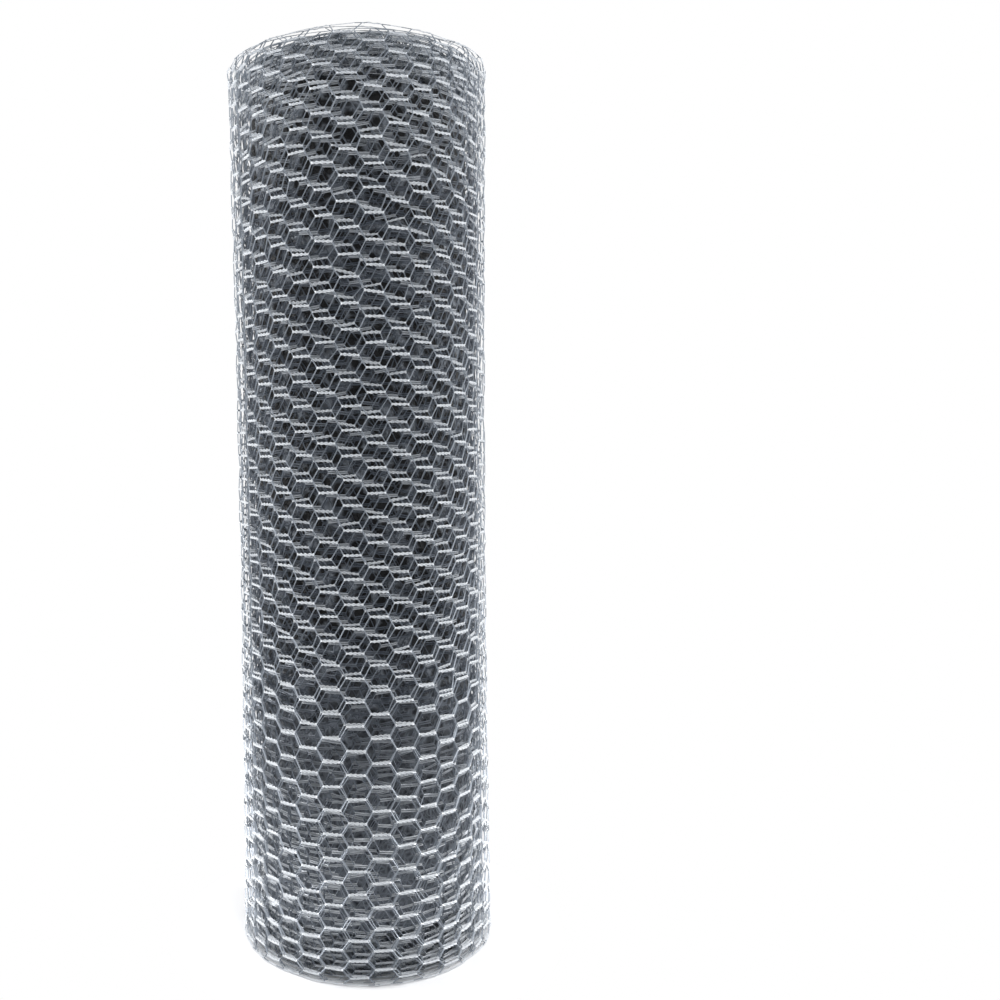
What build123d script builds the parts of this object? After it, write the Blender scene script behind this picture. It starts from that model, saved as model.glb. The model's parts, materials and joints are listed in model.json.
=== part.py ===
from build123d import *
import os

# A roll of galvanised hexagonal wire netting, standing on its end. Millimetres, +Z up.
# The origin is at the middle of the lower end, on the floor.

# The netting, which sets the roll's height
mesh_height = 25.0  # across one cell, along the roll's axis
cell_rows = 40  # from edge wire to edge wire
roll_height = mesh_height * cell_rows

# The winding
outer_radius = 150.0  # at the ends, where the edge wires lie
waist = 3.0  # the middle is wound this much smaller, because it has no edge wires
bore_radius = 30.0  # left by the winding spindle
rim_draw = 1.5  # the outer turn draws in this much at its edges

# The turns on the ends: one spiral gap, wider than the real one and with fewer turns
turn_spacing = 9.6
gap_width = 2.4
gap_depth = 8.0
inner_turn = 5.0  # from the bore's wall to the middle of the gap at its start
outer_turn = 7.0  # least, from the middle of the gap to the outside


def turned_roll():
    """The roll's section beside its axis, turned round the axis."""
    waist_point = (outer_radius - waist, roll_height / 2)
    bore_side = Line((bore_radius, roll_height), (bore_radius, 0))
    lower_end = Line((bore_radius, 0), (outer_radius, 0))
    outside = ThreePointArc((outer_radius, 0), waist_point, (outer_radius, roll_height))
    upper_end = Line((outer_radius, roll_height), (bore_radius, roll_height))
    section = make_face([bore_side, lower_end, outside, upper_end])
    rims = section.vertices().group_by(Axis.X)[-1]
    section = chamfer(rims, rim_draw)
    return revolve(Plane.XZ * section, Axis.Z)


def half_turn(number, offset):
    """One half turn of the spiral, moved outwards by offset.

    Even half turns are centred on one side of the axis and odd ones on the other, so that each
    runs on into the next with no corner, and a whole turn moves out by turn_spacing.
    """
    even = number % 2 == 0
    centre_x = -turn_spacing / 4 if even else turn_spacing / 4
    radius = bore_radius + inner_turn + turn_spacing * (number + 0.5) / 2 + offset
    return CenterArc((centre_x, 0), radius, 0 if even else 180, 180)


def spiral_gap():
    """The gap between the turns as it shows on an end, as deep as it is cut."""
    room = (outer_radius - outer_turn) - (bore_radius + inner_turn)
    half_turns = int(2 * room / turn_spacing)
    inside = [half_turn(n, -gap_width / 2) for n in range(half_turns)]
    outside = [half_turn(n, gap_width / 2) for n in range(half_turns)]
    first = Line(inside[0] @ 0, outside[0] @ 0)
    last = Line(inside[-1] @ 1, outside[-1] @ 1)
    outline = make_face([*inside, *outside, first, last])
    return extrude(outline, gap_depth)


def netting_roll():
    """The wound netting: a turned solid with its bore, and its turns on both ends."""
    lower_gap = spiral_gap()
    upper_gap = Pos(0, 0, roll_height - gap_depth) * lower_gap
    return turned_roll() - lower_gap - upper_gap


os.makedirs("parts", exist_ok=True)

roll = netting_roll()
roll.label = "netting_roll"
export_step(roll, "parts/netting_roll.step")
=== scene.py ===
"""Roll of galvanised hexagonal wire netting, standing on its end.

Two neighbouring wires are modelled over one period, twisted about each other as the netting
machine twists them. Arrays make them a flat strip of netting, and each strip is then wound on
the roll's spiral, from the free end inwards. The netting is laid out flat along +X, with its
thickness along Y and its height along Z. On the roll, +Z is up and -Y is the front.
"""

import json
import logging
import math
from dataclasses import dataclass, replace
from enum import Enum

import bpy
import numpy as np
from mathutils import Matrix, Vector


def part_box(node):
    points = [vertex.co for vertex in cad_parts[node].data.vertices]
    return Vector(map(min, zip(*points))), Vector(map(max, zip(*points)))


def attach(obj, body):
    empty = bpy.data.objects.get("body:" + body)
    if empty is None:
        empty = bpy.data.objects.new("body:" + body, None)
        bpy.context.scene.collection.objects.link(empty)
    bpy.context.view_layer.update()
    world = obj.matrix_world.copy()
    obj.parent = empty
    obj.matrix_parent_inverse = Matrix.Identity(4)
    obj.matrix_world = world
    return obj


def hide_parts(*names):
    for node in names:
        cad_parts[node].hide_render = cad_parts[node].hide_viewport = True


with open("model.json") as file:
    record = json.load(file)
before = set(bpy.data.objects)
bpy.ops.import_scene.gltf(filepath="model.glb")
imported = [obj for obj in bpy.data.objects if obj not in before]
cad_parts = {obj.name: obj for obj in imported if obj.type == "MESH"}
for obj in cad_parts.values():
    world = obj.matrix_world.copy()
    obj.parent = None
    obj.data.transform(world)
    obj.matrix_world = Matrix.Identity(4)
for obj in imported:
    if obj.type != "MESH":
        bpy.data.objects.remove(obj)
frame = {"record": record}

MM = 0.001
NODE = "netting_roll"
BODY = "root"
# attribute with the turns that shade each point of a wire, which sets its painted shade
COVER = "turns_over"
BUILD_UP = "zinc_build_up"
MERGE_DISTANCE = 0.01 * MM
SMOOTH_UNDER = math.radians(75)
LOG = logging.getLogger("wire_roll")

# The three waves of a ripple: how steep each is along and up the netting, and its start
RIPPLE_WAVES = ((1.0, 1.31, 1.0), (-0.73, 1.87, 2.3), (1.61, -0.61, 3.7))
RIPPLE_HEIGHT = 2.2  # about how high the three rise where they meet
EYE_HEIGHT = 0.578  # of the camera that took the photo, above the floor


class Level(Enum):
    """The two heights that a wire runs at, half a cell apart."""

    LOW = 0
    HIGH = 1

    @property
    def other(self) -> "Level":
        """The level that the wire changes to after a twist."""
        return Level.LOW if self is Level.HIGH else Level.HIGH


class Twist(Enum):
    """How finely a twist of two wires is modelled, as (steps along it, whole turns)."""

    FULL = (8, 2)
    PLAIN = (1, 0)


def linear(hex_colour: str) -> tuple[float, float, float, float]:
    """Turns an sRGB hex colour to linear numbers, by the standard's own formula.

    Args:
        hex_colour: such as "#C0C4C8".

    Returns:
        Red, green, blue and an alpha of 1.
    """
    shares = [int(hex_colour[i : i + 2], 16) / 255 for i in (1, 3, 5)]
    red, green, blue = (c / 12.92 if c <= 0.04045 else ((c + 0.055) / 1.055) ** 2.4 for c in shares)
    return red, green, blue, 1.0


def add_node(tree: bpy.types.NodeTree, kind: str, settings: dict, links: dict) -> bpy.types.Node:
    """Adds a node with its settings and links.

    Args:
        tree: the node tree to add to.
        kind: the node's type, without the ShaderNode that each begins with.
        settings: values by the name or number of an input, or by the name of a property.
        links: outputs to link, by the name or number of the input.

    Returns:
        The new node.
    """
    node = tree.nodes.new("ShaderNode" + kind)
    for name, value in settings.items():
        if isinstance(name, int) or name in node.inputs:
            node.inputs[name].default_value = value
        else:
            setattr(node, name, value)
    for name, output in links.items():
        tree.links.new(output, node.inputs[name])
    return node


def new_material(name: str) -> tuple[bpy.types.Material, bpy.types.NodeTree, bpy.types.Node]:
    """Makes a material, and returns it with its node tree and its shader."""
    material = bpy.data.materials.new(name)
    material.use_nodes = True
    tree = material.node_tree
    return material, tree, tree.nodes["Principled BSDF"]


def deselect_all() -> None:
    """Deselects every object, so that an operator works on the new one alone."""
    bpy.ops.object.select_all(action="DESELECT")


def name_piece(name: str) -> bpy.types.Object:
    """Names the new piece and its mesh, and returns the piece."""
    piece = bpy.context.object
    piece.name = name
    piece.data.name = name
    return piece


def apply_modifiers(piece: bpy.types.Object) -> None:
    """Applies every modifier of the active piece, in order."""
    for name in [modifier.name for modifier in piece.modifiers]:
        bpy.ops.object.modifier_apply(modifier=name)


def repeat(piece: bpy.types.Object, step: tuple[float, float, float], count: int, joined: bool) -> None:
    """Adds an array.

    Args:
        piece: what is repeated.
        step: from one copy to the next.
        count: number of copies.
        joined: whether the copies meet and are merged.
    """
    array = piece.modifiers.new("repeat", "ARRAY")
    array.use_relative_offset = False
    array.use_constant_offset = True
    array.constant_offset_displace = step
    array.count = count
    array.use_merge_vertices = joined
    array.merge_threshold = MERGE_DISTANCE


def close_ends(sides: int) -> None:
    """Closes the open ends of wires with that many sides, and turns all faces outwards."""
    bpy.ops.object.mode_set(mode="EDIT")
    bpy.ops.mesh.select_all(action="SELECT")
    bpy.ops.mesh.fill_holes(sides=sides)
    bpy.ops.mesh.normals_make_consistent(inside=False)
    bpy.ops.object.mode_set(mode="OBJECT")


def ramp(value: np.ndarray, start: float, end: float) -> np.ndarray:
    """Rises smoothly from 0 at start to 1 at end."""
    share = np.clip((value - start) / (end - start), 0, 1)
    return share * share * (3 - 2 * share)


def between(ends: tuple[float, float], share: np.ndarray) -> np.ndarray:
    """Goes from the first of two values at a share of 0 to the second at 1."""
    first, second = ends
    return first + (second - first) * share


@dataclass(frozen=True)
class Ripple:
    """An uneven wave over the netting that never quite repeats.

    Attributes:
        length: about one wave's length.
        seed: tells one such wave from another.
        size: how far it moves the outer turn, about.
        more: how much further it moves the turns under that one.
    """

    length: float
    seed: int
    size: float = 1.0
    more: float = 0.0

    def over(self, along: np.ndarray, height: np.ndarray, under: np.ndarray | float = 0.0) -> np.ndarray:
        """Works the wave out.

        Args:
            along: length along the netting.
            height: height on it.
            under: 0 on the outer turn and 1 on those under it.

        Returns:
            How far it moves each point.
        """
        x = along * math.tau / self.length
        z = height * math.tau / self.length
        waves = sum(np.sin(a * x + u * z + s * self.seed) for a, u, s in RIPPLE_WAVES)
        return (self.size + self.more * under) * waves / RIPPLE_HEIGHT


@dataclass(frozen=True)
class Netting:
    """Sizes of the flat netting, in metres.

    Attributes:
        cell_height: from one twist to the next above it.
        rows: rows of cells from edge wire to edge wire.
        period: along the netting, from one twist to the next at its level.
        twist_length: of each twist.
        wire_radius: of a wire with its zinc, as thick as it looks in the photo.
        twist_radius: from a twist's middle to the middle of each wire.
        zinc_fill: how much thicker a wire is in a twist, whose grooves are full of zinc.
        edge_wire_radius: of the wire along each edge.
        sides: of a wire's section, which is never seen larger than a few pixels.
    """

    cell_height: float = 25 * MM
    rows: int = 40
    period: float = 54 * MM
    twist_length: float = 20.4 * MM
    wire_radius: float = 0.62 * MM
    twist_radius: float = 0.84 * MM
    zinc_fill: float = 1.3
    edge_wire_radius: float = 0.65 * MM
    sides: int = 3

    @property
    def height(self) -> float:
        """From edge wire to edge wire."""
        return self.cell_height * self.rows

    @property
    def half_cell(self) -> float:
        """Height from a twist to those beside it."""
        return self.cell_height / 2

    @property
    def slant(self) -> float:
        """Length along the netting of the wire between two twists."""
        return self.period / 2 - self.twist_length

    @property
    def bend(self) -> float:
        """Angle by which a wire turns as it leaves a twist."""
        return math.atan2(self.half_cell - 2 * self.twist_radius, self.slant)

    def corner_radius(self, radius: float) -> float:
        """Radius to the corners of a wire's section that looks as wide as a round wire."""
        return radius * math.pi / (self.sides * math.sin(math.pi / self.sides))


@dataclass(frozen=True)
class Station:
    """One ring of a wire.

    Attributes:
        at: the ring's middle.
        tilt: how far it is turned in the netting's plane.
        swell: its size against the bare wire's, with zinc in the grooves of a twist.
    """

    at: Vector
    tilt: float
    swell: float


@dataclass
class FlatStrip:
    """A flat strip of netting, made of two wires over one period and arrayed.

    Attributes:
        netting: the netting's sizes.
        name: the piece's name.
        periods: how many periods long it is.
        rows: how many rows of cells high it is.
        twist: how finely its twists are made.
    """

    netting: Netting
    name: str
    periods: int
    rows: int
    twist: Twist

    def build(self) -> bpy.types.Object:
        """Makes the strip with its lower left corner at the origin."""
        net = self.netting
        deselect_all()
        self.draw_wire(Level.LOW, 0.0)
        piece = name_piece(self.name)
        bpy.ops.object.mode_set(mode="OBJECT")
        bpy.ops.object.transform_apply(location=True, rotation=True, scale=True)
        bpy.ops.object.mode_set(mode="EDIT")
        bpy.ops.mesh.select_all(action="DESELECT")
        self.draw_wire(Level.HIGH, net.half_cell)
        bpy.ops.object.mode_set(mode="OBJECT")
        repeat(piece, (net.period, 0, 0), self.periods, True)
        apply_modifiers(piece)
        close_ends(net.sides)
        repeat(piece, (0, 0, net.cell_height), self.rows, False)
        apply_modifiers(piece)
        return piece

    def draw_wire(self, first: Level, base: float) -> None:
        """Draws one period of a wire, in edit mode on the piece or as a new piece.

        Args:
            first: the level of the wire's first twist.
            base: height of the wire's low level.
        """
        route = self.stations(first, base)
        self.start_wire(route[0])
        self.pull_wire(route)

    def stations(self, first: Level, base: float) -> list[Station]:
        """Works out one period of a wire's route.

        Args:
            first: the level of the wire's first twist.
            base: height of the wire's low level.

        Returns:
            The wire's rings in order.
        """
        net = self.netting
        steps, turns = self.twist.value
        route = []
        for half, level in enumerate((first, first.other)):
            low = level is Level.LOW
            line = base + (0.0 if low else net.half_cell)
            start = half * net.period / 2
            side = 1 if low else -1
            lean = net.bend / 2 * side
            for step in range(steps + 1):
                share = step / steps
                turn = math.tau * turns * share
                at = Vector((
                    start + net.twist_length * share,
                    side * net.twist_radius * math.sin(turn),
                    line + side * net.twist_radius * math.cos(turn),
                ))
                tilt = {0: -lean, steps: lean}.get(step, 0.0)
                swell = 1.0 if step in (0, steps) else net.zinc_fill
                route.append(Station(at, tilt, swell))
        last = replace(route[0], at=route[0].at + Vector((net.period, 0, 0)))
        return [*route, last]

    def start_wire(self, station: Station) -> None:
        """Adds the ring that a wire is pulled from."""
        bpy.ops.mesh.primitive_circle_add(
            vertices=self.netting.sides,
            radius=self.netting.corner_radius(self.netting.wire_radius),
            fill_type="NOTHING",
            location=station.at,
            rotation=(0, math.pi / 2, 0),
        )
        bpy.ops.object.mode_set(mode="EDIT")
        self.set_tilt(station.at, 0.0, station.tilt)

    def pull_wire(self, route: list[Station]) -> None:
        """Extrudes the selected ring from station to station."""
        for before, after in zip(route, route[1:]):
            bpy.ops.mesh.extrude_region_move(TRANSFORM_OT_translate={"value": after.at - before.at})
            swell = after.swell / before.swell
            if not math.isclose(swell, 1.0):
                bpy.ops.transform.resize(value=(swell,) * 3, center_override=after.at)
            self.set_tilt(after.at, before.tilt, after.tilt)

    def set_tilt(self, at: Vector, old: float, new: float) -> None:
        """Turns the selected ring in the netting's plane, and widens it as a mitre is.

        Args:
            at: the ring's middle.
            old: its tilt so far.
            new: its tilt to come.
        """
        if math.isclose(old, new):
            return
        self.stretch(at, math.cos(old))
        bpy.ops.transform.rotate(value=new - old, orient_axis="Y", center_override=at)
        self.stretch(at, 1 / math.cos(new))

    @staticmethod
    def stretch(at: Vector, by: float) -> None:
        """Scales the selected ring in the netting's plane."""
        bpy.ops.transform.resize(value=(by, 1, by), center_override=at)


@dataclass
class EdgeWire:
    """The straight wire along one edge of the netting, laid out flat.

    Attributes:
        netting: the netting's sizes.
        name: the piece's name.
        length: of the wire.
    """

    netting: Netting
    name: str
    length: float

    def build(self) -> bpy.types.Object:
        """Makes the wire from one short length, repeated."""
        step = self.netting.half_cell
        deselect_all()
        bpy.ops.mesh.primitive_circle_add(
            vertices=self.netting.sides,
            radius=self.netting.corner_radius(self.netting.edge_wire_radius),
            fill_type="NOTHING",
            rotation=(0, math.pi / 2, 0),
        )
        piece = name_piece(self.name)
        bpy.ops.object.mode_set(mode="EDIT")
        bpy.ops.mesh.extrude_region_move(TRANSFORM_OT_translate={"value": (step, 0, 0)})
        bpy.ops.object.mode_set(mode="OBJECT")
        bpy.ops.object.transform_apply(location=True, rotation=True, scale=True)
        repeat(piece, (step, 0, 0), round(self.length / step), True)
        apply_modifiers(piece)
        close_ends(self.netting.sides)
        return piece


@dataclass(frozen=True)
class Slip:
    """How the cells of a turn lie against those of the turn outside it.

    Attributes:
        up: how much higher they lie, in the tight lower part of the roll and in the rest.
        on: how much further along the netting they lie, in each part.
        sight_up: how far the turn's depth makes it look shifted from the photo's eye, one
            roll's height above or below it. Its place makes up for that.
        sight_side: the same to the side, at the roll's outline.
    """

    up: tuple[float, float]
    on: tuple[float, float]
    sight_up: float
    sight_side: float = 4.0 * MM


@dataclass(frozen=True)
class EdgeSteps:
    """How far in from an end of the roll the edges of its turns lie, turn by turn.

    Attributes:
        depth: half of the most that an edge lies in.
        rate: how fast that changes from turn to turn.
        start: what it starts from.
        reach: how closely it keeps to the end, as a power.
    """

    depth: float
    rate: float
    start: float = 0.0
    reach: int = 4

    def inwards(self, turn: np.ndarray, nearness: np.ndarray) -> np.ndarray:
        """How far in a point lies, for a nearness to the end from 0 to 1."""
        wave = 1 + np.sin(self.rate * turn + self.start)
        return self.depth * wave * nearness**self.reach


@dataclass(frozen=True)
class Unevenness:
    """How unevenly the netting was wound.

    The outer turn is nearly even. The second lies in line under it near the floor, and has
    slipped up and sideways above that, so that its twists and the outer ones show in pairs.
    Deeper turns lie anyhow, because nothing keeps the cells of one turn over those of the next.

    Attributes:
        second, third: how the second and the third turn have slipped.
        slip_turns: turns from the free end between which the second turn starts to slip.
        anyhow_turns: turns between which they start to lie anyhow.
        loose, ruffled: shares of the roll's height between which it gets so.
        eye: height of the photo's eye, as a share of a roll 1 m high.
        lift, shift: of the cells, up and along the netting.
        ruffle_lift, ruffle_shift: more of both, where the netting is ruffled.
        deep_lift, deep_shift: the same for cells that lie anyhow.
        held: how closely the edge wires hold the netting, as a power.
        edge_turns: turns between which edges start to lie in from the roll's ends.
        lower_edges, upper_edges: how far in they lie.
        sag, sag_wave: how far the upper edge sags, and how that varies.
        sag_reach: how closely it keeps to the edge, as a power.
        squeeze: share by which the row beside an edge wire is lower than the others.
        squeeze_reach: how closely that keeps to the edges, as an odd power.
        waist: how much smaller the roll is halfway up.
        dent: depth of the slight dents in its side.
        dent_waves: what makes them: how steep two waves are round the roll and up it.
        bulge: how far in the cells lie, because the netting is springy.
        cell_bulge, wide_bulge: how that varies over one cell and over a few.
        bulge_reach: how closely it keeps to the outer turns, as a power.
        slack: how much closer the turns would lie if the outer few weren't springy.
        slack_from, slack_turns: turns after which that starts, and about how many it takes.
    """

    second: Slip = Slip((-1.3 * MM, 6.8 * MM), (2.0 * MM, -4.9 * MM), 3.8 * MM)
    third: Slip = Slip((-1.7 * MM, -9.8 * MM), (-5.0 * MM, 16.9 * MM), 3.7 * MM)
    slip_turns: tuple[float, float] = (0.8, 1.15)
    anyhow_turns: tuple[float, float] = (2.8, 3.2)
    loose: tuple[float, float] = (0.2, 0.42)
    ruffled: tuple[float, float] = (0.5, 0.85)
    eye: float = EYE_HEIGHT
    lift: Ripple = Ripple(90 * MM, 1, 0.6 * MM, 1.4 * MM)
    shift: Ripple = Ripple(110 * MM, 2, 0.8 * MM, 1.0 * MM)
    ruffle_lift: Ripple = Ripple(130 * MM, 11, 1.5 * MM, 1.2 * MM)
    ruffle_shift: Ripple = Ripple(100 * MM, 12, 1.6 * MM)
    deep_lift: tuple[Ripple, ...] = (Ripple(400 * MM, 3, 7 * MM), Ripple(60 * MM, 4, 1.6 * MM))
    deep_shift: tuple[Ripple, ...] = (Ripple(470 * MM, 5, 9 * MM), Ripple(70 * MM, 6, 1.6 * MM))
    held: int = 8
    edge_turns: tuple[float, float] = (1.0, 2.0)
    lower_edges: EdgeSteps = EdgeSteps(1.1 * MM, 2.1)
    upper_edges: EdgeSteps = EdgeSteps(1.3 * MM, 1.7, 1.0)
    sag: float = 1.5 * MM
    sag_wave: Ripple = Ripple(210 * MM, 9)
    sag_reach: int = 16
    squeeze: float = 0.58
    squeeze_reach: int = 15
    waist: float = 3 * MM
    dent: float = 0.4 * MM
    dent_waves: tuple[tuple[int, int], ...] = ((3, 9), (5, -14))
    bulge: float = 0.6 * MM
    cell_bulge: Ripple = Ripple(55 * MM, 7, 1.2 * MM)
    wide_bulge: Ripple = Ripple(160 * MM, 8, 0.72 * MM)
    bulge_reach: int = 8
    slack: float = 11 * MM
    slack_from: float = 0.7
    slack_turns: float = 3.0

    def level(self, share: np.ndarray) -> np.ndarray:
        """Squeezes the rows of cells beside each edge wire, and so opens the others."""
        power = self.squeeze_reach
        middle = 2 * share - 1
        squeezed = middle - self.squeeze * middle**power / power
        return (squeezed / (1 - self.squeeze / power) + 1) / 2

    def edges(self, along: np.ndarray, turn: np.ndarray, share: np.ndarray, height: float) -> np.ndarray:
        """Works out how far the turns' edges lie in from the roll's ends.

        Args:
            along: length from the free end.
            turn: turns from it.
            share: height as a share of the netting's.
            height: the roll's.

        Returns:
            How far up each point is moved.
        """
        inner = ramp(turn, *self.edge_turns)
        lower = inner * self.lower_edges.inwards(turn, 1 - share)
        upper = inner * self.upper_edges.inwards(turn, share)
        sag = self.sag * (1 + self.sag_wave.over(along, share * height))
        return lower - upper - sag * share**self.sag_reach

    def dents(self, angle: np.ndarray, share: np.ndarray) -> np.ndarray:
        """How far the roll's side lies inside a true cylinder: the waist and slight dents."""
        waist = self.waist * (1 - (2 * share - 1) ** 2)
        first, second = (np.sin(a * angle + u * share) for a, u in self.dent_waves)
        return waist + self.dent * (1 + first * second) * np.sin(math.pi * share)

    def bulges(self, along: np.ndarray, height: np.ndarray) -> np.ndarray:
        """How far single cells lie inside the roll's side, because the netting is springy."""
        cells = self.cell_bulge.over(along, height) + self.wide_bulge.over(along, height)
        return np.maximum(self.bulge + cells, 0)


@dataclass(frozen=True)
class Daylight:
    """How far light reaches into the roll, told as the turns that shade a point.

    Attributes:
        beside: turns that shade as much as those beside a wire on an end do.
        lower: depth from the lower end that shades as much as one turn does.
        upper: the same from the upper end, which is open to the light.
        near_floor: most turns that shade near the pale floor, which lights the roll's depth.
        above_it: most turns that shade out of its reach.
        floor_reach: heights between which its light fades.
    """

    beside: float = 0.8
    lower: float = 3 * MM
    upper: float = 70 * MM
    near_floor: float = 1.5
    above_it: float = 4.5
    floor_reach: tuple[float, float] = (80 * MM, 480 * MM)

    def shade(self, turns: np.ndarray, height: np.ndarray, roll_height: float) -> np.ndarray:
        """Works out how deep in shade points lie.

        Args:
            turns: how many lie over each point.
            height: of each point.
            roll_height: the roll's.

        Returns:
            The turns that would shade each point as much, on the side where fewest do.
        """
        end = np.minimum(height / self.lower, (roll_height - height) / self.upper)
        most = between((self.near_floor, self.above_it), ramp(height, *self.floor_reach))
        return np.minimum(turns, np.minimum(self.beside + end, most))


@dataclass(frozen=True)
class Winding:
    """The spiral that the netting is wound on.

    Attributes:
        height: of the roll.
        outer_radius: to the outside of the outer turn.
        bore_radius: left by the spindle.
        netting: the netting's sizes.
        uneven: how unevenly it was wound.
        daylight: how far light reaches into the roll.
        length: of the netting.
        free_end: angle from the front to the free end, at the back.
        edge: height of the edge wire's middle above the roll's end.
        tuck_length: length over which the free end is pressed down.
        tuck: how far it is pressed down.
    """

    height: float
    outer_radius: float
    bore_radius: float
    netting: Netting
    uneven: Unevenness
    daylight: Daylight
    length: float = 50.0
    free_end: float = math.radians(-165.2)
    edge: float = 2.2 * MM
    tuck_length: float = 14 * MM
    tuck: float = 2.4 * MM

    @property
    def half_thickness(self) -> float:
        """From the netting's middle to the outside of a twist, with its zinc."""
        net = self.netting
        return net.twist_radius + net.corner_radius(net.wire_radius) * net.zinc_fill

    @property
    def first_radius(self) -> float:
        """Radius of the outer turn's middle at the free end."""
        return self.outer_radius - self.half_thickness

    @property
    def last_radius(self) -> float:
        """Radius of the inner turn's middle."""
        return self.bore_radius + self.half_thickness

    @property
    def pitch(self) -> float:
        """From one turn to the next."""
        area = math.pi * (self.first_radius**2 - self.last_radius**2)
        return area / self.length

    @property
    def turns(self) -> float:
        """Turns in the whole roll."""
        return (self.first_radius - self.last_radius) / self.pitch

    @property
    def periods(self) -> int:
        """Periods of netting in the whole roll."""
        return round(self.length / self.netting.period)

    def radius_at(self, along: np.ndarray) -> np.ndarray:
        """Radius of the spiral at a length along the netting from the free end."""
        area = self.first_radius**2 - along * self.pitch / math.pi
        least = self.last_radius / 2
        return np.sqrt(np.maximum(area, least**2))

    def turn_at(self, along: np.ndarray) -> np.ndarray:
        """Turns from the free end to a length along the netting."""
        return (self.first_radius - self.radius_at(along)) / self.pitch

    def periods_in(self, turns: float, start: int) -> int:
        """Whole periods in about that many turns, from a period on."""
        along = np.array([start * self.netting.period])
        radius = self.radius_at(along)[0] - turns * self.pitch / 2
        return round(math.tau * radius * turns / self.netting.period)

    def wind(self, piece: bpy.types.Object, start: float, base: float) -> None:
        """Winds a flat piece on the spiral.

        Each turn has its own radius, drift and waist, which no bend modifier holds, so the
        points are moved by formula.

        Args:
            piece: laid out flat from the origin.
            start: length from the free end to the piece's start.
            base: height of the piece's lower edge on the netting.
        """
        mesh = piece.data
        faces_x = self.read_places(mesh.polygons, "center")[0]
        x, y, z = self.read_places(mesh.vertices, "co")
        share = (z + base) / self.netting.height
        along = start + x
        turn = self.turn_at(along)
        up, sideways = self.drift(along, share)
        radius = self.radius_at(along + sideways)
        angle = self.free_end + math.tau * (self.first_radius - radius) / self.pitch
        height = self.edge + self.uneven.level(share) * (self.height - 2 * self.edge) + up
        outside = self.near_outside(turn)
        radius = radius + y - self.uneven.dents(angle, share) * outside
        radius = radius - self.loosening(turn)
        springy = outside**self.uneven.bulge_reach
        radius = radius - self.uneven.bulges(along, height) * springy
        radius = radius - self.tuck * np.clip(1 - along / self.tuck_length, 0, 1) ** 2
        placed = np.stack([radius * np.sin(angle), -radius * np.cos(angle), height], 1)
        mesh.vertices.foreach_set("co", placed.astype(np.float32).ravel())
        cover = mesh.attributes.new(COVER, "FLOAT", "POINT")
        cover.data.foreach_set("value", self.cover(turn, height).astype(np.float32))
        build_up = mesh.attributes.new(BUILD_UP, "FLOAT", "FACE")
        build_up.data.foreach_set("value", self.build_up(faces_x).astype(np.float32))
        mesh.update()

    @staticmethod
    def read_places(items: bpy.types.bpy_prop_collection, name: str) -> np.ndarray:
        """Reads the place of every vertex or face, as all x, all y and all z."""
        places = np.empty(len(items) * 3, np.float32)
        items.foreach_get(name, places)
        return places.reshape(-1, 3).astype(float).T

    def build_up(self, x: np.ndarray) -> np.ndarray:
        """Tells where the dipped zinc stays thick, from single wire.

        It does so on twists, and on an edge wire where the netting's wires are wrapped on it.
        """
        half = self.netting.period / 2
        return (np.mod(x, half) < self.netting.twist_length).astype(float)

    def drift(self, along: np.ndarray, share: np.ndarray) -> tuple[np.ndarray, np.ndarray]:
        """Works out how far the netting lies out of its even place.

        Args:
            along: length from the free end.
            share: height as a share of the netting's.

        Returns:
            How far each point lies above and beyond its even place.
        """
        uneven = self.uneven
        turn = self.turn_at(along)
        height = share * self.height
        under = ramp(turn, *uneven.slip_turns)
        anyhow = ramp(turn, *uneven.anyhow_turns)
        ruffled = ramp(share, *uneven.ruffled)
        up, sideways = self.slipped(turn, share)
        up = up + uneven.lift.over(along, height, under)
        up = up + ruffled * uneven.ruffle_lift.over(along, height, under)
        sideways = sideways + uneven.shift.over(along, height, under)
        sideways = sideways + ruffled * uneven.ruffle_shift.over(along, height, under)
        deep_up = sum(wave.over(along, height) for wave in uneven.deep_lift)
        deep_sideways = sum(wave.over(along, height) for wave in uneven.deep_shift)
        up = (1 - anyhow) * up + anyhow * deep_up
        sideways = (1 - anyhow) * sideways + anyhow * deep_sideways
        free = 1 - (2 * share - 1) ** uneven.held
        return up * free + uneven.edges(along, turn, share, self.height), sideways

    def slipped(self, turn: np.ndarray, share: np.ndarray) -> tuple[np.ndarray, np.ndarray]:
        """Works out how far the second and third turns have slipped.

        Args:
            turn: turns from the free end.
            share: height as a share of the netting's.

        Returns:
            How far each point has slipped up and along the netting.
        """
        loose = ramp(share, *self.uneven.loose)
        side = np.sin(self.free_end + math.tau * turn)
        above = self.uneven.eye - share
        up = np.zeros_like(turn)
        on = np.zeros_like(turn)
        for outer, slip in enumerate((self.uneven.second, self.uneven.third)):
            begun = ramp(turn - outer, *self.uneven.slip_turns)
            line = self.in_line(outer + 1) - self.in_line(outer)
            up = up + begun * (between(slip.up, loose) - above * slip.sight_up)
            on = on + begun * (line + between(slip.on, loose) + side * slip.sight_side)
        return up, on

    def in_line(self, turns: int) -> float:
        """How far a turn slips for its cells to lie under those so many turns further out."""
        outside = self.first_radius + self.pitch * self.free_end / math.tau
        length = math.pi * turns * (2 * outside - turns * self.pitch)
        return length - self.netting.period * round(length / self.netting.period)

    def near_outside(self, turn: np.ndarray) -> np.ndarray:
        """How much of the dents a turn shares, from 1 outside to 0 at the bore."""
        return np.clip(1 - turn / self.turns, 0, 1)

    def loosening(self, turn: np.ndarray) -> np.ndarray:
        """How far a turn lies inside its even place, because the outer ones spring open."""
        under = np.maximum(turn - self.uneven.slack_from, 0)
        spring = self.uneven.slack * (1 - np.exp(-under / self.uneven.slack_turns))
        return spring * self.near_outside(turn)

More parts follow.
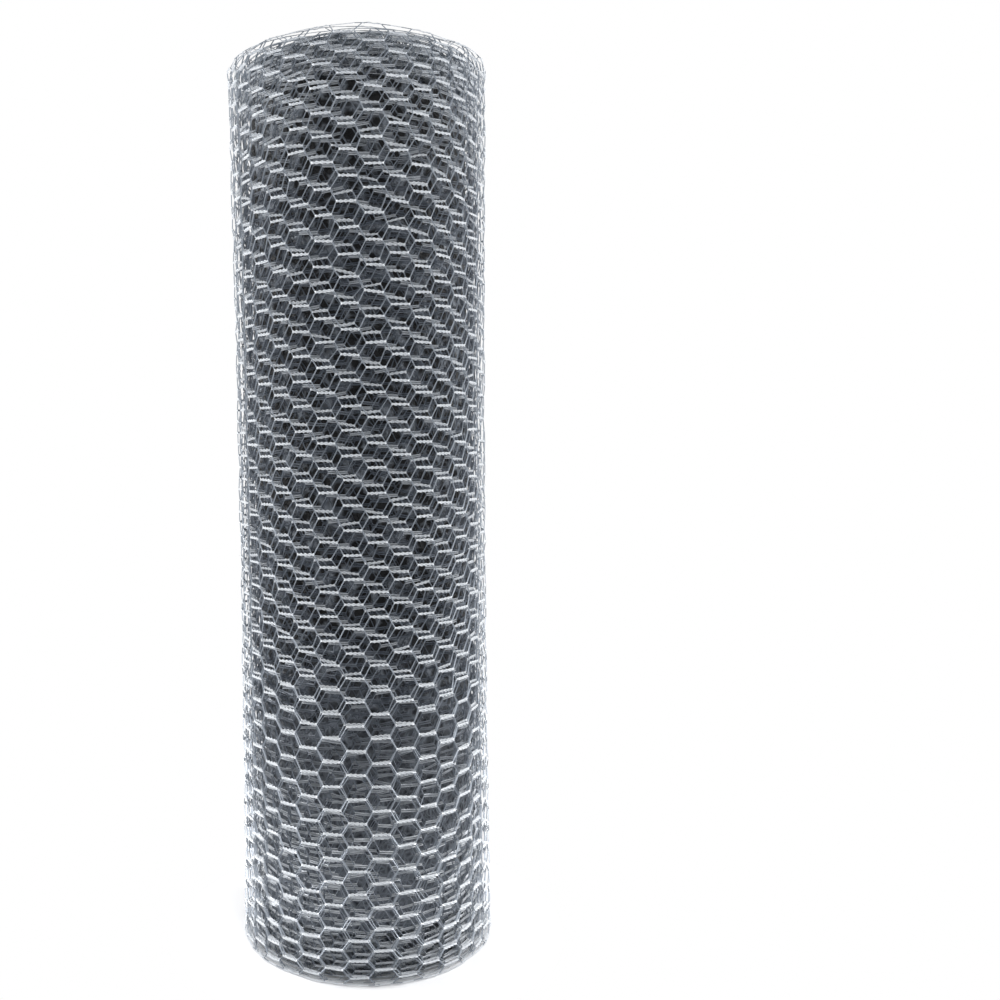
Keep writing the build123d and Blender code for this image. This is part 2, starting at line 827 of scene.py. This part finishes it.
    def cover(self, turn: np.ndarray, height: np.ndarray) -> np.ndarray:
        """How many turns shade a point, on the side where fewest do."""
        outside = np.floor(np.maximum(turn, 0))
        inside = np.floor(np.maximum(self.turns - turn, 0))
        return self.daylight.shade(np.minimum(outside, inside), height, self.height)


@dataclass(frozen=True)
class ZincWire:
    """Hot-dip galvanised steel wire.

    The zinc has set in small crystals and dulled in the air under a pale skin, so the eye sees
    a blue-grey that is only partly metallic, with a satin shine, mottled along the wire. It is
    thickest and palest in the twists. Deep between the turns its colour is darkened as painted
    shade, which stands in for the light that the outer turns keep out.

    Attributes:
        bright, dull: the palest and the dullest crystals in a twist.
        thin: single wire, which carries less zinc.
        painted_shade: colour painted on wire deep under other turns, as the shade there.
        crystal, bloom: size of the crystals, and of the patches in which they are duller.
        bloom_detail, bloom_roughness: how much finer mottle those have, and how strong.
        shaded_from, shaded_at: turns over a wire at which its painted shade starts and is full.
        metallic: share of metal that shows through the skin.
        roughness: of the shiniest and of the dullest wire.
        grain: size of the skin's grain, drawn coarser than the real one so that it shows.
        grain_depth, grain_strength: how deep it is, and how strongly it turns the light.
    """

    bright: str = "#E9ECEF"
    dull: str = "#C9CFD6"
    thin: str = "#949BA4"
    painted_shade: str = "#5F6670"
    crystal: float = 2.5 * MM
    bloom: float = 35 * MM
    bloom_detail: float = 4.0
    bloom_roughness: float = 0.6
    shaded_from: float = 0.5
    shaded_at: float = 3.2
    metallic: float = 0.35
    roughness: tuple[float, float] = (0.35, 0.5)
    grain: float = 0.8 * MM
    grain_depth: float = 0.1 * MM
    grain_strength: float = 0.3

    def material(self) -> bpy.types.Material:
        """Makes the wire's material, darker under other turns."""
        material, tree, shader = new_material("hot_dip_galvanised_wire")
        place = add_node(tree, "TexCoord", {}, {}).outputs["Object"]
        crystals = add_node(tree, "TexVoronoi", {"Scale": 1 / self.crystal}, {"Vector": place})
        tone = add_node(tree, "SeparateColor", {}, {"Color": crystals.outputs["Color"]})
        bloom = add_node(
            tree,
            "TexNoise",
            {"Scale": 1 / self.bloom, "Detail": self.bloom_detail, "Roughness": self.bloom_roughness},
            {"Vector": place},
        )
        mottle = add_node(
            tree, "Math", {"operation": "MULTIPLY"}, {0: tone.outputs[0], 1: bloom.outputs["Fac"]}
        )
        zinc = add_node(
            tree,
            "Mix",
            {"data_type": "RGBA", 6: linear(self.bright), 7: linear(self.dull)},
            {0: mottle.outputs[0]},
        )
        build_up = add_node(tree, "Attribute", {"attribute_name": BUILD_UP}, {})
        coat = add_node(
            tree,
            "Mix",
            {"data_type": "RGBA", 6: linear(self.thin)},
            {0: build_up.outputs["Fac"], 7: zinc.outputs[2]},
        )
        # Painted shade: the colour darkens with the turns that shade the wire, in place of the light
        # they keep out
        cover = add_node(tree, "Attribute", {"attribute_name": COVER}, {})
        shade = add_node(
            tree,
            "MapRange",
            {"From Min": self.shaded_from, "From Max": self.shaded_at},
            {"Value": cover.outputs["Fac"]},
        )
        colour = add_node(
            tree,
            "Mix",
            {"data_type": "RGBA", 7: linear(self.painted_shade)},
            {0: shade.outputs[0], 6: coat.outputs[2]},
        )
        tree.links.new(colour.outputs[2], shader.inputs["Base Color"])
        least, most = self.roughness
        rough = add_node(
            tree, "MapRange", {"To Min": least, "To Max": most}, {"Value": bloom.outputs["Fac"]}
        )
        tree.links.new(rough.outputs[0], shader.inputs["Roughness"])
        grain = add_node(tree, "TexNoise", {"Scale": 1 / self.grain}, {"Vector": place})
        bump = add_node(
            tree,
            "Bump",
            {"Strength": self.grain_strength, "Distance": self.grain_depth},
            {"Height": grain.outputs["Fac"]},
        )
        tree.links.new(bump.outputs[0], shader.inputs["Normal"])
        shader.inputs["Metallic"].default_value = self.metallic
        return material


@dataclass(frozen=True)
class DeepWire:
    """The tangle that many turns of galvanised wire make, deep in the roll.

    Single wires can't be told apart there: the eye sees a dull blue-grey mottle of wires a few
    millimetres apart, with a dark gap here and there that nothing crosses. Both are painted on a
    solid body: the tone between the wires and the dark gaps are painted shade of the roll's depth.

    Attributes:
        wire, between, gap: wires that catch some light, painted shade between them, and dark gaps of
            painted shade.
        gaps_above: heights between which the gaps' painted shade deepens. Below, painted light from the
            pale floor fills them.
        wire_spacing: from wire to wire.
        nets: how closely the wires of two crossing nets lie, against that.
        wire_share: share of the spacing that a wire's light covers.
        gap_spacing, gap_share: from gap to gap, and how much of that a gap takes.
        gap_edge: how much larger it is with its soft edge.
        relief: depth of the wires.
        roughness, metallic: of dusty zinc.
    """

    wire: str = "#868D96"
    between: str = "#383D45"
    gap: str = "#0A0C10"
    gaps_above: tuple[float, float] = (60 * MM, 380 * MM)
    wire_spacing: float = 8 * MM
    nets: tuple[float, float] = (1.0, 0.6)
    wire_share: float = 0.28
    gap_spacing: float = 13 * MM
    gap_share: float = 0.5
    gap_edge: float = 1.5
    relief: float = 1.5 * MM
    roughness: float = 0.6
    metallic: float = 0.3

    def material(self) -> bpy.types.Material:
        """Makes the tangle's material."""
        material, tree, shader = new_material("galvanised_wire_in_depth")
        place = add_node(tree, "TexCoord", {}, {}).outputs["Object"]
        near_net, far_net = [
            add_node(
                tree,
                "TexVoronoi",
                {"feature": "DISTANCE_TO_EDGE", "Scale": scale / self.wire_spacing},
                {"Vector": place},
            )
            for scale in self.nets
        ]
        near = add_node(
            tree,
            "Math",
            {"operation": "MINIMUM"},
            {0: near_net.outputs["Distance"], 1: far_net.outputs["Distance"]},
        )
        wires = add_node(
            tree,
            "MapRange",
            {"From Min": 0.0, "From Max": self.wire_share, "To Min": 1.0, "To Max": 0.0},
            {"Value": near.outputs[0]},
        )
        # Painted shade: the dark tone between the wires stands in for the shade deep in the roll
        tangle = add_node(
            tree,
            "Mix",
            {"data_type": "RGBA", 6: linear(self.between), 7: linear(self.wire)},
            {0: wires.outputs[0]},
        )
        # Painted shade: dark gaps where the eye looks deep into the roll
        holes = add_node(tree, "TexVoronoi", {"Scale": 1 / self.gap_spacing}, {"Vector": place})
        dark = add_node(
            tree,
            "MapRange",
            {
                "From Min": self.gap_share,
                "From Max": self.gap_edge * self.gap_share,
                "To Min": 1.0,
                "To Max": 0.0,
            },
            {"Value": holes.outputs["Distance"]},
        )
        # Painted light from the floor: the gaps' painted shade fades out towards it
        height = add_node(tree, "SeparateXYZ", {}, {"Vector": place})
        lowest, full = self.gaps_above
        open_gaps = add_node(
            tree, "MapRange", {"From Min": lowest, "From Max": full}, {"Value": height.outputs["Z"]}
        )
        deep = add_node(
            tree, "Math", {"operation": "MULTIPLY"}, {0: dark.outputs[0], 1: open_gaps.outputs[0]}
        )
        colour = add_node(
            tree,
            "Mix",
            {"data_type": "RGBA", 7: linear(self.gap)},
            {0: deep.outputs[0], 6: tangle.outputs[2]},
        )
        tree.links.new(colour.outputs[2], shader.inputs["Base Color"])
        bump = add_node(tree, "Bump", {"Distance": self.relief}, {"Height": wires.outputs[0]})
        tree.links.new(bump.outputs[0], shader.inputs["Normal"])
        shader.inputs["Roughness"].default_value = self.roughness
        shader.inputs["Metallic"].default_value = self.metallic
        return material


@dataclass
class WireRoll:
    """The roll: its outer turns, its ends, its bore and what fills it.

    Attributes:
        winding: the spiral that it is wound on.
        wire: the wire's material.
        tangle: the material of the depth of the roll.
        plain_turns: full turns under the outer two, in single plain wires.
        plain_pieces: how many pieces they are made in.
        bore_turns: full turns that line the bore.
        end_rows: rows of cells that the turns between have at each end.
        end_share: share of those rows that stands clear of the hidden body.
        body_sides: sides of that body.
    """

    winding: Winding
    wire: bpy.types.Material
    tangle: bpy.types.Material
    plain_turns: int = 5
    plain_pieces: int = 2
    bore_turns: int = 3
    end_rows: int = 2
    end_share: float = 0.9
    body_sides: int = 120

    def build(self) -> None:
        """Makes every piece, from the free end inwards."""
        done = self.outer_turns()
        inside = self.winding.periods - self.bore_periods()
        self.turn_ends(done, inside)
        self.bore_lining(inside)
        self.edge_wires()
        self.hidden_turns(done)

    def outer_turns(self) -> int:
        """Makes the full turns that show from the side, and returns the periods used."""
        done = 0
        pieces = [("outer_turn", Twist.FULL, 1.0), ("second_turn", Twist.FULL, 1.0)]
        turns_each = self.plain_turns / self.plain_pieces
        names = [f"under_turns_{number + 1}" for number in range(self.plain_pieces)]
        pieces += [(name, Twist.PLAIN, turns_each) for name in names]
        for name, twist, turns in pieces:
            periods = self.winding.periods_in(turns, done)
            self.strip(name, done, periods, self.winding.netting.rows, 0, twist)
            done += periods
        return done

    def turn_ends(self, start: int, stop: int) -> None:
        """Makes the first rows of cells of the turns between, which show at each end."""
        rows = self.winding.netting.rows
        for name, lowest in (("lower_ends", 0), ("upper_ends", rows - self.end_rows)):
            self.strip(name, start, stop - start, self.end_rows, lowest, Twist.PLAIN)

    def bore_lining(self, start: int) -> None:
        """Makes the inner turns, which show down the bore."""
        rows = self.winding.netting.rows
        self.strip("bore_turns", start, self.bore_periods(), rows, 0, Twist.PLAIN)

    def bore_periods(self) -> int:
        """Periods of netting in the turns that line the bore."""
        radius = self.winding.last_radius + self.bore_turns * self.winding.pitch / 2
        return round(math.tau * radius * self.bore_turns / self.winding.netting.period)

    def strip(self, name: str, start: int, periods: int, rows: int, lowest: int, twist: Twist) -> None:
        """Makes one wound strip of netting.

        Args:
            name: the piece's name.
            start: periods from the free end to its start.
            periods: how many it is long.
            rows: how many rows of cells it is high.
            lowest: its lowest row.
            twist: how finely its twists are made.
        """
        net = self.winding.netting
        piece = FlatStrip(net, name, periods, rows, twist).build()
        self.winding.wind(piece, start * net.period, lowest * net.cell_height)
        self.dress(piece, self.wire)

    def edge_wires(self) -> None:
        """Makes the wire along each edge of the netting, over all its turns."""
        net = self.winding.netting
        for name, base in (("lower_edge_wire", 0), ("upper_edge_wire", net.rows)):
            length = self.winding.periods * net.period
            piece = EdgeWire(net, name, length).build()
            self.winding.wind(piece, 0.0, base * net.cell_height)
            self.dress(piece, self.wire)

    def hidden_turns(self, start: int) -> None:
        """Makes the depth of the roll, which shows only between the wires of other turns, as a solid
        body with painted wires and painted shade.
        """
        roll = self.winding
        recess = self.end_rows * self.end_share * roll.netting.cell_height
        along = np.array([start * roll.netting.period])
        wound_in = roll.uneven.waist + roll.uneven.slack + roll.pitch
        outside = roll.radius_at(along)[0] - wound_in
        bore = roll.last_radius + (self.bore_turns + 1) * roll.pitch
        deselect_all()
        bpy.ops.mesh.primitive_cylinder_add(
            vertices=self.body_sides,
            radius=outside,
            depth=roll.height - 2 * recess,
            location=(0, 0, roll.height / 2),
        )
        piece = name_piece("hidden_turns")
        bpy.ops.object.transform_apply(location=True, rotation=True, scale=True)
        bpy.ops.object.mode_set(mode="EDIT")
        bpy.ops.mesh.select_mode(type="FACE")
        bpy.ops.mesh.select_all(action="DESELECT")
        bpy.ops.object.mode_set(mode="OBJECT")
        for face in piece.data.polygons:
            face.select = abs(face.normal.z) > abs(face.normal.x) + abs(face.normal.y)
        bpy.ops.object.mode_set(mode="EDIT")
        bpy.ops.mesh.inset(thickness=outside - bore, depth=0)
        bpy.ops.mesh.bridge_edge_loops()
        bpy.ops.mesh.select_all(action="SELECT")
        bpy.ops.mesh.normals_make_consistent(inside=False)
        bpy.ops.object.mode_set(mode="OBJECT")
        self.dress(piece, self.tangle)

    def dress(self, piece: bpy.types.Object, material: bpy.types.Material) -> None:
        """Gives a finished piece its material and its place on the frame."""
        deselect_all()
        piece.select_set(True)
        bpy.context.view_layer.objects.active = piece
        bpy.ops.object.shade_smooth_by_angle(angle=SMOOTH_UNDER)
        piece.data.materials.clear()
        piece.data.materials.append(material)
        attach(piece, BODY)
        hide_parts(NODE)
        piece.data.calc_loop_triangles()
        LOG.info("%s: %d triangles", piece.name, len(piece.data.loop_triangles))


def seen(tree: bpy.types.NodeTree) -> bpy.types.NodeSocket:
    """Adds nodes that tell rays that the camera sees, also in metal, from those that light."""
    path = add_node(tree, "LightPath", {}, {})
    found = path.outputs["Is Camera Ray"]
    for name in ("Is Glossy Ray", "Is Transmission Ray"):
        either = add_node(tree, "Math", {"operation": "MAXIMUM"}, {0: found, 1: path.outputs[name]})
        found = either.outputs[0]
    return found


@dataclass(frozen=True)
class PaleFloor:
    """A matt white studio floor.

    It is white to the eye, except round the roll, where it keeps the roll's shadow.

    Attributes:
        colour, roughness, shine: of matt white paint.
        sweep: distances from the roll's axis between which the shadow fades to white.
    """

    colour: str = "#FAFAFB"
    roughness: float = 0.9
    shine: float = 0.1
    sweep: tuple[float, float] = (0.15, 0.23)

    def material(self) -> bpy.types.Material:
        """Makes the floor's material."""
        material, tree, shader = new_material("pale_floor")
        shader.inputs["Base Color"].default_value = linear(self.colour)
        shader.inputs["Roughness"].default_value = self.roughness
        shader.inputs["Specular IOR Level"].default_value = self.shine
        glow = add_node(tree, "Emission", {"Strength": 1.0}, {})
        place = add_node(tree, "TexCoord", {}, {})
        away = add_node(tree, "VectorMath", {"operation": "LENGTH"}, {0: place.outputs["Object"]})
        near, far = self.sweep
        sweep = add_node(
            tree, "MapRange", {"From Min": near, "From Max": far}, {"Value": away.outputs["Value"]}
        )
        share = add_node(tree, "Math", {"operation": "MULTIPLY"}, {0: seen(tree), 1: sweep.outputs[0]})
        mix = add_node(
            tree, "MixShader", {}, {0: share.outputs[0], 1: shader.outputs[0], 2: glow.outputs[0]}
        )
        tree.links.new(mix.outputs[0], tree.nodes["Material Output"].inputs["Surface"])
        return material


@dataclass(frozen=True)
class Lamp:
    """A soft square lamp.

    Attributes:
        name: the lamp's name.
        place: where it hangs.
        size: of its side.
        power: in watts.
    """

    name: str
    place: tuple[float, float, float]
    size: float
    power: float

    def hang(self, aim: tuple[float, float, float]) -> None:
        """Makes the lamp, pointing at aim."""
        light = bpy.data.lights.new(self.name, "AREA")
        light.size = self.size
        light.energy = self.power
        lamp = bpy.data.objects.new(self.name, light)
        bpy.context.scene.collection.objects.link(lamp)
        lamp.location = self.place
        towards = Vector(aim) - Vector(self.place)
        lamp.rotation_euler = towards.to_track_quat("-Z", "Y").to_euler()


@dataclass(frozen=True)
class Studio:
    """A plain pale floor, soft light all round and the photograph's camera.

    Attributes:
        distance: from the roll's axis to the camera.
        eye_height: of the camera above the floor.
        pitch, roll: how far it looks down, and leans, so that the netting leans to the left.
        focal: focal length as a share of the picture's width.
        film_width: in millimetres.
        axis_place: where the roll's axis lies across the picture, as a share of its width.
        floor_radius, floor_sides: of the round floor.
        ambient: strength of the light from all round.
        aim, lamps: the lamps and what they point at, the roll's middle.
    """

    distance: float = 1.15
    eye_height: float = EYE_HEIGHT
    pitch: float = math.radians(3.38)
    roll: float = math.radians(0.79)
    focal: float = 0.9739
    film_width: float = 36.0
    axis_place: float = 0.3626
    floor_radius: float = 12.0
    floor_sides: int = 96
    ambient: float = 0.51
    aim: tuple[float, float, float] = (0.0, 0.0, 0.5)
    lamps: tuple[Lamp, ...] = (
        Lamp("top_light", (0.5, -2.0, 3.1), 1.4, 42.0),
        Lamp("left_light", (-2.8, 0.7, 1.3), 1.5, 105.0),
        Lamp("right_light", (2.8, 0.7, 1.3), 1.5, 90.0),
    )

    def build(self) -> None:
        """Makes the floor, the light and the camera."""
        self.floor()
        self.sky()
        for lamp in self.lamps:
            lamp.hang(self.aim)
        self.camera()

    def floor(self) -> None:
        """Makes the floor that the roll stands on."""
        deselect_all()
        bpy.ops.mesh.primitive_circle_add(
            vertices=self.floor_sides, radius=self.floor_radius, fill_type="NGON"
        )
        floor = bpy.context.object
        floor.name = "floor"
        floor.data.materials.append(PaleFloor().material())

    def sky(self) -> None:
        """Makes the white surroundings, which are dimmer as a light than they look."""
        world = bpy.data.worlds.new("white_surroundings")
        bpy.context.scene.world = world
        world.use_nodes = True
        tree = world.node_tree
        background = tree.nodes["Background"]
        background.inputs["Color"].default_value = (1, 1, 1, 1)
        strength = add_node(
            tree, "MapRange", {"To Min": self.ambient, "To Max": 1.0}, {"Value": seen(tree)}
        )
        tree.links.new(strength.outputs[0], background.inputs["Strength"])

    def camera(self) -> None:
        """Makes the camera of the photograph."""
        lens = bpy.data.cameras.new("camera")
        lens.sensor_width = self.film_width
        lens.lens = lens.sensor_width * self.focal
        lens.shift_x = 0.5 - self.axis_place
        camera = bpy.data.objects.new("camera", lens)
        bpy.context.scene.collection.objects.link(camera)
        level = Matrix.Rotation(math.pi / 2 - self.pitch, 4, "X")
        lean = Matrix.Rotation(-self.roll, 4, "Z")
        place = Matrix.Translation((0, -self.distance, self.eye_height))
        camera.matrix_world = place @ level @ lean
        bpy.context.scene.camera = camera


def main() -> None:
    """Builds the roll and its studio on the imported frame."""
    logging.basicConfig(level=logging.INFO, format="%(name)s: %(message)s")
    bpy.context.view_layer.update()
    low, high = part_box(NODE)
    mounts = {mount["name"]: mount for mount in frame["record"]["mounts"]}
    winding = Winding(
        height=high.z - low.z,
        outer_radius=(high.x - low.x) / 2,
        bore_radius=mounts["bore"]["dims"]["r_mm"] * MM,
        netting=Netting(),
        uneven=Unevenness(),
        daylight=Daylight(),
    )
    WireRoll(winding, ZincWire().material(), DeepWire().material()).build()
    Studio().build()
    bpy.context.scene.view_settings.view_transform = "Standard"


if __name__ == "__main__":
    main()
